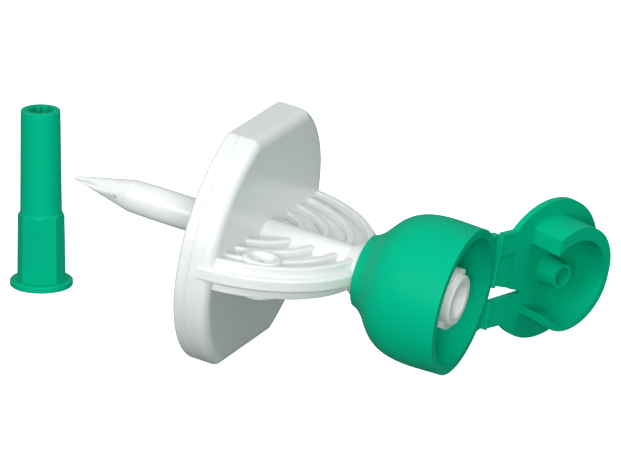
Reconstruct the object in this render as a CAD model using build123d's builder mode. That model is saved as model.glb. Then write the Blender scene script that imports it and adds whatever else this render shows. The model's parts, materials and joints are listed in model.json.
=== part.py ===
"""Vented vial withdrawal spike with a snap collar, a hinged lid and a loose spike sheath (mm)."""

import math
import os

from build123d import *

os.makedirs("parts", exist_ok=True)

# Grip plate: a round plate with its top and bottom cut flat, in two halves that meet at s = 0.
PLATE_R = 16.75
PLATE_HALF_HEIGHT = 14.93
PLATE_FRONT = 1.6
PLATE_REAR = 3.0
PLATE_CORNER_R = 0.8
PLATE_EDGE_R = 1.25
PLATE_FRONT_EDGE_R = 0.5
SEAM_CHAMFER = 0.15

# Spike, along the device axis towards -s.
SPIKE_TIP_S = -23.2
SPIKE_SHOULDER_S = -15.4
SPIKE_TIP_R = 0.22
SPIKE_SHOULDER_R = 2.04
SPIKE_SHAFT_R = 2.14
SPIKE_SHAFT_START_S = -12.4
SPIKE_SHAFT_END_S = -3.6
SPIKE_ROOT_R = 2.3
AIR_LUMEN_ANGLE = 184
FLUID_LUMEN_ANGLE = 4
LUMEN_WIDTH = 0.75
LUMEN_INNER = 0.4
LUMEN_OUTER = 1.75
TUBE_LUMEN_OUTER = 1.45
LUMEN_START_S = -22.3

# Air filter wing: a half disc on the rear face of the plate.
WING_R = 16.1
WING_TOP = 2.0
WING_BOTTOM = -2.35
WING_FLOOR_TOP = 0.85
WING_WALL = 0.9
FLANGE_R = 17.1
FLANGE_TOP = 0.8
FLANGE_BOTTOM = -0.9
RIB_RADII = (13.1, 10.0, 6.95)
RIB_WIDTH = 0.9
RIB_TOP = 1.85
BOSS_S = 7.05
BOSS_V = -11.05
BOSS_R = 2.5
BOSS_DIMPLE_R = 1.35
BOSS_TOP = 2.15
BOSS_LIP_R = 0.5
BOSS_FLOOR = 1.5
BOSS_BOTTOM = -2.65
VENT_R = 0.4
MEMBRANE_R = 14.4
MEMBRANE_THICK = 0.3
CHAMBER_FLOOR = -1.5
SOFT_EDGE_R = 0.25
FLANGE_EDGE_R = 0.4

# Fluid tube, neck and female luer lock port.
TUBE_R = 1.9
HUMP_R = 2.6
HUMP_END_S = 14.5
NECK_R = 3.98
NECK_START_S = 16.6
HUB_R = 3.25
PORT_FACE_S = 29.2
PORT_BORE_R = 2.04
PORT_LEAD_IN = 0.2
PORT_DEPTH = 7.5
FLUID_BORE_R = 1.2
FLUID_BORE_START_S = 5.0
AIR_LUMEN_END_S = 4.2
AIR_SLOT_WIDTH = 0.7
AIR_SLOT_TOP = -0.3
LUG_R = 3.9
LUG_SET_BACK = 0.7
LUG_LENGTH = 1.1
LUG_WIDTH = 4.4

# Snap collar: a bell cup round the port.
COLLAR_REAR_S = 16.6
COLLAR_MOUTH_S = 29.75
COLLAR_MOUTH_R = 9.32
COLLAR_WALL = 1.1
COLLAR_BORE_R = 4.0
SLEEVE_R = 4.9
SLEEVE_END_S = 23.6
CUP_FLOOR_S = 19.6

# Lid, drawn open; p runs from the hinge line across the lid, h out of its inner face.
HINGE_S = 29.85
HINGE_V = 9.65
LID_OPEN = 159.5
LID_R = 9.25
LID_THICK = 0.85
SKIRT_R = 6.5
SKIRT_WALL = 0.9
SKIRT_RISE = 0.85
SKIRT_HEIGHT = 4.7
SKIRT_CUT = 3.8
STOPPER_BASE_R = 1.96
STOPPER_TIP_R = 1.62
STOPPER_BORE_R = 1.15
STOPPER_HEIGHT = 2.75
HINGE_GAP = 0.36
HINGE_BEAD_R = 0.3
LEDGE_REACH = 4.2
STRAP_UPPER = (-0.9, 6.1)
STRAP_LOWER = (-6.5, -2.9)
STRAP_REACH = 4.2
SLOT_REACH = 5.6
PANEL_REACH = 3.3
PANEL_TOP = 3.2
PANEL_DEPTH = 0.4

# Sheath, standing upright beside the spike tip.
SHEATH_X = -33.8
SHEATH_Y = 12.9
SHEATH_HEIGHT = 23.2
SHEATH_FLANGE_R = 4.02
SHEATH_FLANGE = 0.85
SHEATH_FACETS = 8
SHEATH_FACET_R = 3.12
SHEATH_FACET_TURN = 19.4
SHEATH_FACET_DRAFT = 0.7
SHEATH_SHOULDER_LOW = 9.1
SHEATH_SHOULDER_TOP = 9.75
SHEATH_LOW_R = 2.66
SHEATH_TOP_R = 2.53
SHEATH_MOUTH_R = 2.42
SHEATH_LEAD_IN = 2.6
SHEATH_BORE_R = 2.2
SHEATH_BORE_TOP = 1.62
SHEATH_STEP = 15.2
FLUTE_COUNT = 10
FLUTE_R = 1.88
FLUTE_WIDTH = 0.5
FLUTE_DEPTH = 5.0

# The device leans on the plate's lower edge and on the open lid's rim.
LID_DIR = (math.sin(math.radians(LID_OPEN)), -math.cos(math.radians(LID_OPEN)))
LID_NORMAL = (-math.cos(math.radians(LID_OPEN)), -math.sin(math.radians(LID_OPEN)))
LID_CENTRE_S = HINGE_S + HINGE_V * LID_DIR[0]
REACH = LID_CENTRE_S - (PLATE_REAR - PLATE_EDGE_R)
DROP = PLATE_HALF_HEIGHT - PLATE_EDGE_R - 1.004 * LID_R
TILT = math.atan2(DROP, REACH) + math.asin(PLATE_EDGE_R / math.hypot(REACH, DROP))
AXIS_HEIGHT = LID_CENTRE_S * math.sin(TILT) + 1.004 * LID_R * math.cos(TILT)
AXIS_X = -0.943
AXIS_Y = -5.3

# Device directions: s along the axis towards the mouth, v to the far side, w up.
ORIGIN = Vector(AXIS_X, AXIS_Y, AXIS_HEIGHT)
DIR_S = Vector(math.cos(TILT), 0, -math.sin(TILT))
DIR_V = Vector(0, 1, 0)
DIR_W = Vector(math.sin(TILT), 0, math.cos(TILT))
DEVICE_AXIS = Axis(ORIGIN, DIR_S)


def across(s):
    """Plane square to the axis at s; its sketches are in (v, w)."""
    return Plane(origin=ORIGIN + DIR_S * s, x_dir=DIR_V, z_dir=DIR_S)


def level(w):
    """Plane parallel to the axis at height w; its sketches are in (s, v)."""
    return Plane(origin=ORIGIN + DIR_W * w, x_dir=DIR_S, z_dir=DIR_W)


def lid_level(h):
    """Plane parallel to the lid at height h; its sketches are in (p, q) from the hinge line."""
    across_lid = DIR_S * LID_DIR[0] + DIR_V * LID_DIR[1]
    out = DIR_S * LID_NORMAL[0] + DIR_V * LID_NORMAL[1]
    hinge = ORIGIN + DIR_S * HINGE_S + DIR_V * HINGE_V
    return Plane(origin=hinge + out * h, x_dir=across_lid, z_dir=out)


def upright(z):
    """Level plane at height z centred on the standing sheath."""
    return Plane(origin=(AXIS_X + SHEATH_X, AXIS_Y + SHEATH_Y, z))


def turned(points, mode=Mode.ADD):
    """Revolve a closed (s, r) outline round the device axis."""
    with BuildSketch(level(0)) as profile:
        with BuildLine():
            Polyline(*points, close=True)
        make_face()
    revolve(profile.sketch, axis=DEVICE_AXIS, mode=mode)


def stood(points, mode=Mode.ADD):
    """Revolve a closed (r, z) outline round the standing sheath's axis."""
    foot = (AXIS_X + SHEATH_X, AXIS_Y + SHEATH_Y, 0)
    with BuildSketch(Plane(origin=foot, x_dir=(1, 0, 0), z_dir=(0, -1, 0))) as profile:
        with BuildLine():
            Polyline(*points, close=True)
        make_face()
    revolve(profile.sketch, axis=Axis(foot, (0, 0, 1)), mode=mode)


def plate_outline(outline):
    """Round plate outline with flats above and below, in (v, w)."""
    Circle(PLATE_R)
    Rectangle(4 * PLATE_R, 2 * PLATE_HALF_HEIGHT, mode=Mode.INTERSECT)
    fillet(outline.vertices(), radius=PLATE_CORNER_R)


def half_disc(radius, start):
    """Half disc in (s, v), flat side at s = start."""
    Circle(radius)
    with Locations((start - 2 * PLATE_R, 0)):
        Rectangle(4 * PLATE_R, 4 * PLATE_R, mode=Mode.SUBTRACT)


def arc_band(radius, width, start):
    """Half ring in (s, v) of the given mean radius and width."""
    Circle(radius + width / 2)
    Circle(radius - width / 2, mode=Mode.SUBTRACT)
    with Locations((start - 2 * PLATE_R, 0)):
        Rectangle(4 * PLATE_R, 4 * PLATE_R, mode=Mode.SUBTRACT)


def membrane_leaf(side):
    """Quarter-disc leaf in (s, v) on one side of the fluid tube."""
    half_disc(MEMBRANE_R - 0.05, PLATE_REAR + 0.05)
    with Locations((0, side * (TUBE_R + 0.05 - 2 * PLATE_R))):
        Rectangle(4 * PLATE_R, 4 * PLATE_R, mode=Mode.SUBTRACT)


def arcs_at(part, height, radii):
    """Arc edges of a part that lie level at a height and have one of the given radii."""
    found = []
    for edge in part.edges().filter_by(GeomType.CIRCLE):
        level_with = abs((edge.center() - ORIGIN).dot(DIR_W) - height) < 0.01
        flat = abs(edge.normal().dot(DIR_W)) > 0.99
        if level_with and flat and min(abs(edge.radius - radius) for radius in radii) < 0.01:
            found.append(edge)
    return found


def lumen(turn, outer):
    """Narrow channel beside the axis in (v, w), on the side given by its angle."""
    mid = (LUMEN_INNER + outer) / 2
    spot = (mid * math.cos(math.radians(turn)), mid * math.sin(math.radians(turn)))
    with Locations(Location((spot[0], spot[1], 0), (0, 0, turn))):
        SlotOverall(outer - LUMEN_INNER, LUMEN_WIDTH)


# Spike and front half of the grip plate, one moulding.
with BuildPart() as spike:
    with BuildSketch(across(-PLATE_FRONT)) as outline:
        plate_outline(outline)
    extrude(amount=PLATE_FRONT)
    front_rim = spike.faces().sort_by(DEVICE_AXIS)[0].edges()
    fillet(front_rim, radius=PLATE_FRONT_EDGE_R)
    seam_rim = spike.faces().sort_by(DEVICE_AXIS)[-1].edges()
    chamfer(seam_rim, length=SEAM_CHAMFER)
    turned([
        (SPIKE_TIP_S, 0),
        (SPIKE_TIP_S, SPIKE_TIP_R),
        (SPIKE_SHOULDER_S, SPIKE_SHOULDER_R),
        (SPIKE_SHAFT_START_S, SPIKE_SHAFT_R),
        (SPIKE_SHAFT_END_S, SPIKE_SHAFT_R),
        (-PLATE_FRONT, SPIKE_ROOT_R),
        (-PLATE_FRONT, 0),
    ])
    with BuildSketch(across(LUMEN_START_S)):
        lumen(AIR_LUMEN_ANGLE, LUMEN_OUTER)
        lumen(FLUID_LUMEN_ANGLE, LUMEN_OUTER)
    extrude(amount=-LUMEN_START_S, mode=Mode.SUBTRACT)
spike.part.label = "spike"
export_step(spike.part, "parts/spike.step")

# Rear half of the grip plate, lower wing shell, fluid tube, neck and luer port, one moulding.
with BuildPart() as port_body:
    with BuildSketch(across(0)) as outline:
        plate_outline(outline)
    extrude(amount=PLATE_REAR)
    rear_rim = port_body.faces().sort_by(DEVICE_AXIS)[-1].edges()
    fillet(rear_rim, radius=PLATE_EDGE_R)
    seam_rim = port_body.faces().sort_by(DEVICE_AXIS)[0].edges()
    chamfer(seam_rim, length=SEAM_CHAMFER)
    with BuildSketch(level(FLANGE_BOTTOM)):
        half_disc(FLANGE_R, 1.3)
    extrude(amount=-FLANGE_BOTTOM)
    with BuildSketch(level(WING_BOTTOM)):
        half_disc(WING_R - 0.4, 1.3)
    extrude(amount=-WING_BOTTOM)
    fillet(arcs_at(port_body, FLANGE_BOTTOM, [FLANGE_R]), radius=FLANGE_EDGE_R)
    fillet(arcs_at(port_body, WING_BOTTOM, [WING_R - 0.4]), radius=SOFT_EDGE_R)
    with BuildSketch(level(BOSS_BOTTOM)):
        with Locations((BOSS_S, BOSS_V)):
            Circle(BOSS_R)
    extrude(amount=CHAMBER_FLOOR - BOSS_BOTTOM)
    fillet(arcs_at(port_body, BOSS_BOTTOM, [BOSS_R]), radius=SOFT_EDGE_R)
    with BuildSketch(level(CHAMBER_FLOOR)):
        half_disc(MEMBRANE_R - 0.9, PLATE_REAR)
    extrude(amount=-CHAMBER_FLOOR, mode=Mode.SUBTRACT)
    with BuildSketch(level(CHAMBER_FLOOR)):
        for radius in RIB_RADII[1:]:
            arc_band(radius, RIB_WIDTH, PLATE_REAR)
    extrude(amount=-CHAMBER_FLOOR)
    with BuildSketch(level(-MEMBRANE_THICK)):
        half_disc(MEMBRANE_R, PLATE_REAR)
    extrude(amount=MEMBRANE_THICK, mode=Mode.SUBTRACT)
    turned([
        (PLATE_REAR - 0.5, 0),
        (PLATE_REAR - 0.5, TUBE_R),
        (HUMP_END_S, TUBE_R),
        (HUMP_END_S, HUMP_R),
        (NECK_START_S, NECK_R),
        (CUP_FLOOR_S + 0.8, NECK_R),
        (CUP_FLOOR_S + 1.6, HUB_R),
        (PORT_FACE_S - 0.2, HUB_R),
        (PORT_FACE_S, HUB_R - 0.2),
        (PORT_FACE_S, 0),
    ])
    with BuildSketch(across(PORT_FACE_S - LUG_SET_BACK - LUG_LENGTH)):
        Circle(LUG_R)
        Circle(HUB_R - 0.5, mode=Mode.SUBTRACT)
        Rectangle(LUG_WIDTH, 3 * LUG_R, mode=Mode.INTERSECT)
    extrude(amount=LUG_LENGTH)
    turned([
        (PORT_FACE_S + 1, 0),
        (PORT_FACE_S + 1, PORT_BORE_R + PORT_LEAD_IN),
        (PORT_FACE_S, PORT_BORE_R + PORT_LEAD_IN),
        (PORT_FACE_S - PORT_LEAD_IN, PORT_BORE_R),
        (PORT_FACE_S - PORT_DEPTH, PORT_BORE_R),
        (PORT_FACE_S - PORT_DEPTH, FLUID_BORE_R),
        (FLUID_BORE_START_S, FLUID_BORE_R),
        (FLUID_BORE_START_S, 0),
    ], mode=Mode.SUBTRACT)
    with BuildSketch(across(0)):
        lumen(FLUID_LUMEN_ANGLE, TUBE_LUMEN_OUTER)
    extrude(amount=FLUID_BORE_START_S + 0.5, mode=Mode.SUBTRACT)
    with BuildSketch(across(0)):
        lumen(AIR_LUMEN_ANGLE, TUBE_LUMEN_OUTER)
    extrude(amount=AIR_LUMEN_END_S, mode=Mode.SUBTRACT)
    with BuildSketch(level(AIR_SLOT_TOP - AIR_SLOT_WIDTH)):
        with Locations((AIR_LUMEN_END_S - AIR_SLOT_WIDTH / 2, -TUBE_R + 0.4)):
            Rectangle(AIR_SLOT_WIDTH, TUBE_R)
    extrude(amount=AIR_SLOT_WIDTH, mode=Mode.SUBTRACT)
port_body.part.label = "port_body"
export_step(port_body.part, "parts/port_body.step")

# Flat membrane between the wing shells: one leaf each side of the fluid tube.
with BuildPart() as membrane_near:
    with BuildSketch(level(-MEMBRANE_THICK)):
        membrane_leaf(-1)
    extrude(amount=MEMBRANE_THICK)
membrane_near.part.label = "membrane_near"
export_step(membrane_near.part, "parts/membrane_near.step")

with BuildPart() as membrane_far:
    with BuildSketch(level(-MEMBRANE_THICK)):
        membrane_leaf(1)
    extrude(amount=MEMBRANE_THICK)
membrane_far.part.label = "membrane_far"
export_step(membrane_far.part, "parts/membrane_far.step")

# Ribbed cover of the wing, with a hump over the fluid tube and a vent boss.
with BuildPart() as wing_cover:
    with BuildSketch(level(0)):
        half_disc(FLANGE_R, 1.3)
    extrude(amount=FLANGE_TOP)
    with BuildSketch(level(0)):
        half_disc(WING_R, PLATE_REAR)
    extrude(amount=WING_FLOOR_TOP)
    with BuildSketch(level(0)):
        for radius in RIB_RADII:
            arc_band(radius, RIB_WIDTH, PLATE_REAR - 1)
    extrude(amount=RIB_TOP)
    with BuildSketch(level(0)):
        arc_band(WING_R - WING_WALL / 2, WING_WALL, 1.3)
    extrude(amount=WING_TOP)
    turned([
        (PLATE_REAR - 1, 0),
        (PLATE_REAR - 1, HUMP_R),
        (HUMP_END_S, HUMP_R),
        (HUMP_END_S, 0),
    ])
    turned([
        (0, 0),
        (0, TUBE_R - 0.4),
        (WING_R + 2, TUBE_R - 0.4),
        (WING_R + 2, 0),
    ], mode=Mode.SUBTRACT)
    with BuildSketch(level(0)):
        Rectangle(6 * PLATE_R, 6 * PLATE_R)
    extrude(amount=-2 * PLATE_R, mode=Mode.SUBTRACT)
    rib_edges = [radius + side * RIB_WIDTH / 2 for radius in RIB_RADII for side in (-1, 1)]
    fillet(arcs_at(wing_cover, RIB_TOP, rib_edges), radius=SOFT_EDGE_R)
    fillet(arcs_at(wing_cover, WING_TOP, [WING_R]), radius=SOFT_EDGE_R)
    chamfer(arcs_at(wing_cover, WING_TOP, [WING_R - WING_WALL]), length=0.6 * SOFT_EDGE_R)
    fillet(arcs_at(wing_cover, FLANGE_TOP, [FLANGE_R]), radius=SOFT_EDGE_R)
    with BuildSketch(level(0)):
        with Locations((BOSS_S, BOSS_V)):
            Circle(BOSS_R)
    extrude(amount=BOSS_FLOOR)
    boss_foot = ORIGIN + DIR_S * BOSS_S + DIR_V * BOSS_V
    with BuildSketch(Plane(origin=boss_foot, x_dir=DIR_S, z_dir=-DIR_V)) as ring:
        with Locations(((BOSS_R + BOSS_DIMPLE_R) / 2, BOSS_TOP / 2)):
            Rectangle(BOSS_R - BOSS_DIMPLE_R, BOSS_TOP)
        fillet(ring.vertices().group_by(Axis.Y)[-1], radius=BOSS_LIP_R)
    revolve(axis=Axis(boss_foot, DIR_W))
    with BuildSketch(level(BOSS_FLOOR)):
        with Locations((BOSS_S, BOSS_V)):
            Circle(BOSS_DIMPLE_R)
    extrude(amount=2, mode=Mode.SUBTRACT)
    with BuildSketch(level(0)):
        with Locations((BOSS_S, BOSS_V)):
            Circle(VENT_R)
    extrude(amount=4, mode=Mode.SUBTRACT)
    add(port_body.part, mode=Mode.SUBTRACT)
wing_cover.part.label = "wing_cover"
export_step(wing_cover.part, "parts/wing_cover.step")

# Snap collar: a bell cup held on the neck, with two hinge ledges on its far side.
with BuildPart() as collar:
    with BuildSketch(level(0)):
        with BuildLine():
            outer = Spline(
                (COLLAR_REAR_S, 4.6),
                (17.5, 5.05),
                (18.7, 6.2),
                (19.9, 7.6),
                (21.1, 8.5),
                (22.6, 9.08),
                (COLLAR_MOUTH_S, COLLAR_MOUTH_R),
            )
            Polyline(outer @ 1, (COLLAR_MOUTH_S, 0), (COLLAR_REAR_S, 0), outer @ 0)
        make_face()
    revolve(axis=DEVICE_AXIS)
    for low, high in (STRAP_UPPER, STRAP_LOWER):
        with BuildSketch(level(low)):
            with Locations((HINGE_S - 0.9, HINGE_V - LEDGE_REACH / 2)):
                Rectangle(0.9, LEDGE_REACH)
            with Locations((HINGE_S - 0.3, HINGE_V - 0.15)):
                Rectangle(0.6, 0.3)
            with Locations((HINGE_S, HINGE_V)):
                Circle(HINGE_BEAD_R)
        extrude(amount=high - low)
    turned([
        (COLLAR_MOUTH_S + 1, 0),
        (COLLAR_MOUTH_S + 1, COLLAR_MOUTH_R - COLLAR_WALL),
        (COLLAR_MOUTH_S, COLLAR_MOUTH_R - COLLAR_WALL),
        (23.4, 7.95),
        (21.6, 7.3),
        (20.4, 6.2),
        (CUP_FLOOR_S, 5.4),
        (CUP_FLOOR_S, SLEEVE_R),
        (SLEEVE_END_S, SLEEVE_R),
        (SLEEVE_END_S, COLLAR_BORE_R),
        (COLLAR_REAR_S - 1, COLLAR_BORE_R),
        (COLLAR_REAR_S - 1, 0),
    ], mode=Mode.SUBTRACT)
collar.part.label = "collar"
export_step(collar.part, "parts/collar.step")

# Lid: a flat disc with a cut-away skirt and a hollow stopper, on two straps at the hinge line.
stopper_draft = math.degrees(math.atan((STOPPER_BASE_R - STOPPER_TIP_R) / STOPPER_HEIGHT))
with BuildPart() as lid:
    with BuildSketch(lid_level(-LID_THICK)):
        with Locations((HINGE_V, 0)):
            Circle(LID_R)
        for low, high in (STRAP_UPPER, STRAP_LOWER):
            with Locations(((HINGE_GAP + STRAP_REACH) / 2, (low + high) / 2)):
                Rectangle(STRAP_REACH - HINGE_GAP, high - low)
        with BuildLine():
            Polyline(
                (HINGE_GAP - 1, STRAP_UPPER[0]),
                (HINGE_GAP, STRAP_UPPER[0]),
                (SLOT_REACH, STRAP_LOWER[1] + 0.6),
                (SLOT_REACH, STRAP_LOWER[1] + 0.3),
                (HINGE_GAP, STRAP_LOWER[1]),
                (HINGE_GAP - 1, STRAP_LOWER[1]),
                close=True,
            )
        make_face(mode=Mode.SUBTRACT)
        with Locations((HINGE_GAP - 2, 0)):
            Rectangle(4, 4 * LID_R, mode=Mode.SUBTRACT)
    extrude(amount=LID_THICK)
    with BuildSketch(lid_level(0)):
        with Locations(((PANEL_REACH - 2) / 2, (STRAP_UPPER[0] - 1 + PANEL_TOP) / 2)):
            Rectangle(PANEL_REACH + 2, PANEL_TOP - STRAP_UPPER[0] + 1)
    extrude(amount=-PANEL_DEPTH, mode=Mode.SUBTRACT)
    with BuildSketch(lid_level(0)):
        with Locations((HINGE_V, 0), (HINGE_V, SKIRT_RISE)):
            Circle(SKIRT_R)
        with Locations((HINGE_V, SKIRT_RISE / 2)):
            Rectangle(2 * SKIRT_R, SKIRT_RISE)
        with Locations((HINGE_V, 0)):
            Circle(SKIRT_R - SKIRT_WALL, mode=Mode.SUBTRACT)
        with Locations((HINGE_V - SKIRT_CUT - 2 * LID_R, 0)):
            Rectangle(4 * LID_R, 4 * LID_R, mode=Mode.SUBTRACT)
    extrude(amount=SKIRT_HEIGHT)
    with BuildSketch(lid_level(0)):
        with Locations((HINGE_V, 0)):
            Circle(STOPPER_BASE_R)
    extrude(amount=STOPPER_HEIGHT, taper=stopper_draft)
    with BuildSketch(lid_level(0.2)):
        with Locations((HINGE_V, 0)):
            Circle(STOPPER_BORE_R)
    extrude(amount=STOPPER_HEIGHT, mode=Mode.SUBTRACT)
lid.part.label = "lid"
export_step(lid.part, "parts/lid.step")

# Sheath: a faceted sleeve on a round flange, with a slim fluted tube above.
with BuildPart() as sheath:
    with BuildSketch(upright(0)):
        RegularPolygon(SHEATH_FACET_R, SHEATH_FACETS, rotation=SHEATH_FACET_TURN)
    extrude(amount=SHEATH_SHOULDER_TOP, taper=SHEATH_FACET_DRAFT)
    stood([
        (SHEATH_LOW_R, SHEATH_SHOULDER_TOP),
        (SHEATH_FACET_R, SHEATH_SHOULDER_LOW),
        (2 * SHEATH_FACET_R, SHEATH_SHOULDER_LOW),
        (2 * SHEATH_FACET_R, SHEATH_HEIGHT),
        (SHEATH_LOW_R, SHEATH_HEIGHT),
    ], mode=Mode.SUBTRACT)
    stood([
        (0, 0),
        (SHEATH_FLANGE_R - 0.15, 0),
        (SHEATH_FLANGE_R, 0.15),
        (SHEATH_FLANGE_R, SHEATH_FLANGE - 0.15),
        (SHEATH_FLANGE_R - 0.15, SHEATH_FLANGE),
        (0, SHEATH_FLANGE),
    ])
    stood([
        (0, SHEATH_SHOULDER_LOW),
        (SHEATH_LOW_R, SHEATH_SHOULDER_LOW),
        (SHEATH_LOW_R, SHEATH_SHOULDER_TOP),
        (SHEATH_TOP_R, SHEATH_HEIGHT - 0.15),
        (SHEATH_TOP_R - 0.15, SHEATH_HEIGHT),
        (0, SHEATH_HEIGHT),
    ])
    stood([
        (0, -1),
        (SHEATH_MOUTH_R, -1),
        (SHEATH_MOUTH_R, 0),
        (SHEATH_BORE_R, SHEATH_LEAD_IN),
        (SHEATH_BORE_R, SHEATH_STEP),
        (SHEATH_BORE_TOP, SHEATH_STEP + 0.6),
        (SHEATH_BORE_TOP, SHEATH_HEIGHT + 1),
        (0, SHEATH_HEIGHT + 1),
    ], mode=Mode.SUBTRACT)
    with BuildSketch(upright(SHEATH_HEIGHT)):
        with PolarLocations(FLUTE_R / 2, FLUTE_COUNT):
            Rectangle(FLUTE_R, FLUTE_WIDTH)
    extrude(amount=-FLUTE_DEPTH, mode=Mode.SUBTRACT)
sheath.part.label = "sheath"
export_step(sheath.part, "parts/sheath.step")
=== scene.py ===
"""Looks for the vented vial withdrawal spike: materials, floor, lights and camera."""

import json
import math

import bpy
from mathutils import Matrix, Vector

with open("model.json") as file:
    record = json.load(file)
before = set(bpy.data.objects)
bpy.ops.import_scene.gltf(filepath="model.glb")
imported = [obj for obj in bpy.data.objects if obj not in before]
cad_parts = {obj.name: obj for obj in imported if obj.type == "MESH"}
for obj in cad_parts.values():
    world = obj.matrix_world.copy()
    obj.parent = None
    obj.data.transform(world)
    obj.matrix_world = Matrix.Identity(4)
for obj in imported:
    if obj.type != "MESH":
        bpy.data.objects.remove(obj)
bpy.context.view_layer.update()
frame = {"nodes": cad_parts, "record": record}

# Lengths are in metres. Shading turns sharp at edges steeper than EDGE_ANGLE.
SCATTER_DEPTH = 0.0012
GRAIN_DEPTH = 0.00004
EDGE_ANGLE = math.radians(32)

# Sweep behind the object: floor, a round bend, then a wall.
SWEEP_HALF_WIDTH = 3.0
FLOOR_FRONT = -1.2
BEND_START = 0.9
BEND_RADIUS = 0.5
BEND_STEPS = 12
WALL_TOP = 3.0

# Lamps: place, edge length of the square, power in watts. All aim at the middle of the part.
AIM = (0.0, 0.0, 0.014)
LAMPS = {
    "key": ((-0.16, -0.60, 0.34), 0.30, 1.7),
    "top": ((0.50, -0.10, 0.62), 0.30, 1.3),
    "side": ((0.28, -0.63, 0.14), 0.24, 2.7),
}
SKY_LOW = (0.08, 0.12, 0.12, 1)
SKY_LOW_AT = 0.45
SKY_HIGH = (0.50, 0.53, 0.53, 1)
SKY_HIGH_AT = 0.85

# Camera, at the photograph's viewing angle.
CAMERA_PLACE = (0.33286, -0.76188, 0.27111)
CAMERA_RIGHT = Vector((0.918089, 0.396326, 0.006228))
CAMERA_UP = Vector((-0.122525, 0.268815, 0.955367))
CAMERA_LENS = 407.58
CAMERA_SENSOR = 36.0


# ---------- materials ----------

def new_material(name):
    """Empty node material with a Principled shader; returns (material, shader, node tree)."""
    mat = bpy.data.materials.new(name)
    mat.use_nodes = True
    tree = mat.node_tree
    shader = tree.nodes["Principled BSDF"]
    return mat, shader, tree


def noise(tree, coords, scale, detail=3.0, rough=0.55):
    """Noise texture on the object's own coordinates."""
    node = tree.nodes.new("ShaderNodeTexNoise")
    node.inputs["Scale"].default_value = scale
    node.inputs["Detail"].default_value = detail
    node.inputs["Roughness"].default_value = rough
    tree.links.new(coords.outputs["Object"], node.inputs["Vector"])
    return node


def map_range(tree, source, low, high):
    """Remap a 0..1 value to low..high."""
    node = tree.nodes.new("ShaderNodeMapRange")
    node.inputs["To Min"].default_value = low
    node.inputs["To Max"].default_value = high
    tree.links.new(source, node.inputs["Value"])
    return node.outputs["Result"]


def plastic(name, dark, light, rough, spread, scatter, scatter_color, bump):
    """Moulded plastic: faint colour drift, uneven gloss and a fine moulding texture."""
    mat, shader, tree = new_material(name)
    coords = tree.nodes.new("ShaderNodeTexCoord")
    drift = noise(tree, coords, 90.0)
    mix = tree.nodes.new("ShaderNodeMix")
    mix.data_type = "RGBA"
    mix.inputs["A"].default_value = (*dark, 1)
    mix.inputs["B"].default_value = (*light, 1)
    tree.links.new(drift.outputs["Fac"], mix.inputs["Factor"])
    tree.links.new(mix.outputs["Result"], shader.inputs["Base Color"])
    gloss = noise(tree, coords, 420.0)
    uneven = map_range(tree, gloss.outputs["Fac"], rough - spread, rough + spread)
    tree.links.new(uneven, shader.inputs["Roughness"])
    grain = noise(tree, coords, 2600.0, 4.0, 0.6)
    relief = tree.nodes.new("ShaderNodeBump")
    relief.inputs["Strength"].default_value = bump
    relief.inputs["Distance"].default_value = GRAIN_DEPTH
    tree.links.new(grain.outputs["Fac"], relief.inputs["Height"])
    tree.links.new(relief.outputs["Normal"], shader.inputs["Normal"])
    shader.inputs["IOR"].default_value = 1.5
    shader.inputs["Subsurface Weight"].default_value = scatter
    shader.inputs["Subsurface Radius"].default_value = scatter_color
    shader.inputs["Subsurface Scale"].default_value = SCATTER_DEPTH
    return mat


white = plastic(
    "white_plastic", dark=(0.80, 0.81, 0.80), light=(0.835, 0.84, 0.83), rough=0.25, spread=0.03,
    scatter=0.12, scatter_color=(1.0, 0.9, 0.85), bump=0.06,
)
green = plastic(
    "green_plastic", dark=(0.0, 0.415, 0.218), light=(0.0, 0.44, 0.235), rough=0.42, spread=0.05,
    scatter=0.05, scatter_color=(0.1, 1.0, 0.6), bump=0.12,
)
green.node_tree.nodes["Principled BSDF"].inputs["Specular IOR Level"].default_value = 0.04
membrane = plastic(
    "membrane", dark=(0.80, 0.80, 0.76), light=(0.86, 0.86, 0.82), rough=0.85, spread=0.05,
    scatter=0.0, scatter_color=(1.0, 1.0, 1.0), bump=1.0,
)
SLOTS = {"white_plastic": white, "green_plastic": green, "membrane": membrane}

slot_of = {s["node"]: s["material_slot"] for s in frame["record"]["subparts"]}
for name, obj in frame["nodes"].items():
    obj.data.materials.clear()
    obj.data.materials.append(SLOTS[slot_of[name]])
    for poly in obj.data.polygons:
        poly.use_smooth = True
    split = obj.modifiers.new("edges", "EDGE_SPLIT")
    split.split_angle = EDGE_ANGLE


# ---------- floor, lights, camera ----------

def stage_material():
    """Bright matt white for the sweep."""
    mat, shader, tree = new_material("stage")
    coords = tree.nodes.new("ShaderNodeTexCoord")
    tint = noise(tree, coords, 6.0)
    tree.links.new(map_range(tree, tint.outputs["Fac"], 0.78, 0.82), shader.inputs["Roughness"])
    shader.inputs["Base Color"].default_value = (0.9, 0.9, 0.9, 1)
    shader.inputs["Emission Color"].default_value = (1, 1, 1, 1)
    shader.inputs["Emission Strength"].default_value = 0.95
    return mat


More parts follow.
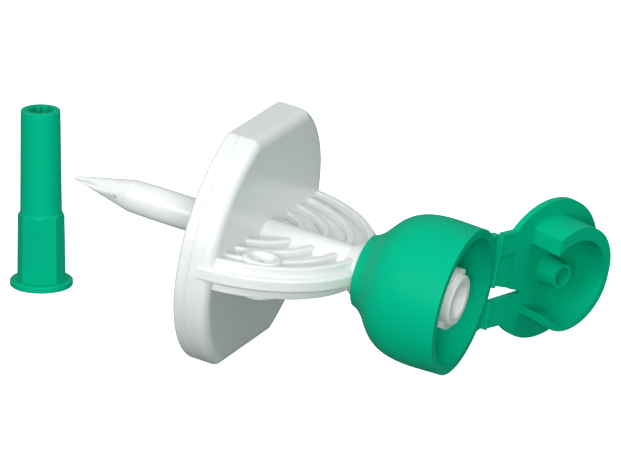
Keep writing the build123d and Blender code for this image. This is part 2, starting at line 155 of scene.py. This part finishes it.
def make_stage():
    """Pale sweep: a level floor that curves up behind the object."""
    profile = [(FLOOR_FRONT, 0.0), (BEND_START, 0.0)]
    for step in range(1, BEND_STEPS + 1):
        turn = math.radians(90 * step / BEND_STEPS)
        profile.append((BEND_START + BEND_RADIUS * math.sin(turn), BEND_RADIUS * (1 - math.cos(turn))))
    profile.append((BEND_START + BEND_RADIUS, WALL_TOP))
    verts, faces = [], []
    for along, up in profile:
        verts.append((-SWEEP_HALF_WIDTH, along, up))
        verts.append((SWEEP_HALF_WIDTH, along, up))
    for i in range(len(profile) - 1):
        faces.append((2 * i, 2 * i + 1, 2 * i + 3, 2 * i + 2))
    mesh = bpy.data.meshes.new("stage")
    mesh.from_pydata(verts, [], faces)
    for poly in mesh.polygons:
        poly.use_smooth = True
    mesh.materials.append(stage_material())
    floor = bpy.data.objects.new("stage", mesh)
    bpy.context.scene.collection.objects.link(floor)
    floor.visible_diffuse = False
    floor.visible_glossy = False


def area_light(name, place, size, power):
    """Square white lamp aimed at the middle of the part."""
    data = bpy.data.lights.new(name, "AREA")
    data.shape = "RECTANGLE"
    data.size = size
    data.size_y = size
    data.energy = power
    lamp = bpy.data.objects.new(name, data)
    lamp.location = place
    lamp.rotation_euler = (Vector(AIM) - Vector(place)).to_track_quat("-Z", "Y").to_euler()
    bpy.context.scene.collection.objects.link(lamp)


def make_sky():
    """Dim surround that is brighter towards the top."""
    world = bpy.data.worlds.new("world")
    bpy.context.scene.world = world
    world.use_nodes = True
    sky = world.node_tree
    coords = sky.nodes.new("ShaderNodeTexCoord")
    split = sky.nodes.new("ShaderNodeSeparateXYZ")
    sky.links.new(coords.outputs["Generated"], split.inputs["Vector"])
    ramp = sky.nodes.new("ShaderNodeValToRGB")
    low, high = ramp.color_ramp.elements
    low.position = SKY_LOW_AT
    low.color = SKY_LOW
    high.position = SKY_HIGH_AT
    high.color = SKY_HIGH
    sky.links.new(map_range(sky, split.outputs["Z"], 0.5, 1.0), ramp.inputs["Fac"])
    sky.links.new(ramp.outputs["Color"], sky.nodes["Background"].inputs["Color"])
    sky.nodes["Background"].inputs["Strength"].default_value = 1.0


def make_camera():
    """Long-lens camera given by its place and its right and up directions."""
    data = bpy.data.cameras.new("camera")
    data.sensor_width = CAMERA_SENSOR
    data.lens = CAMERA_LENS
    data.clip_start = 0.05
    data.clip_end = 20.0
    camera = bpy.data.objects.new("camera", data)
    back = CAMERA_RIGHT.cross(CAMERA_UP)
    turn = Matrix((CAMERA_RIGHT, CAMERA_UP, back)).transposed().to_4x4()
    camera.matrix_world = Matrix.Translation(CAMERA_PLACE) @ turn
    bpy.context.scene.collection.objects.link(camera)
    bpy.context.scene.camera = camera


make_stage()
for name, (place, size, power) in LAMPS.items():
    area_light(name, place, size, power)
make_sky()
make_camera()
bpy.context.scene.view_settings.view_transform = "Standard"
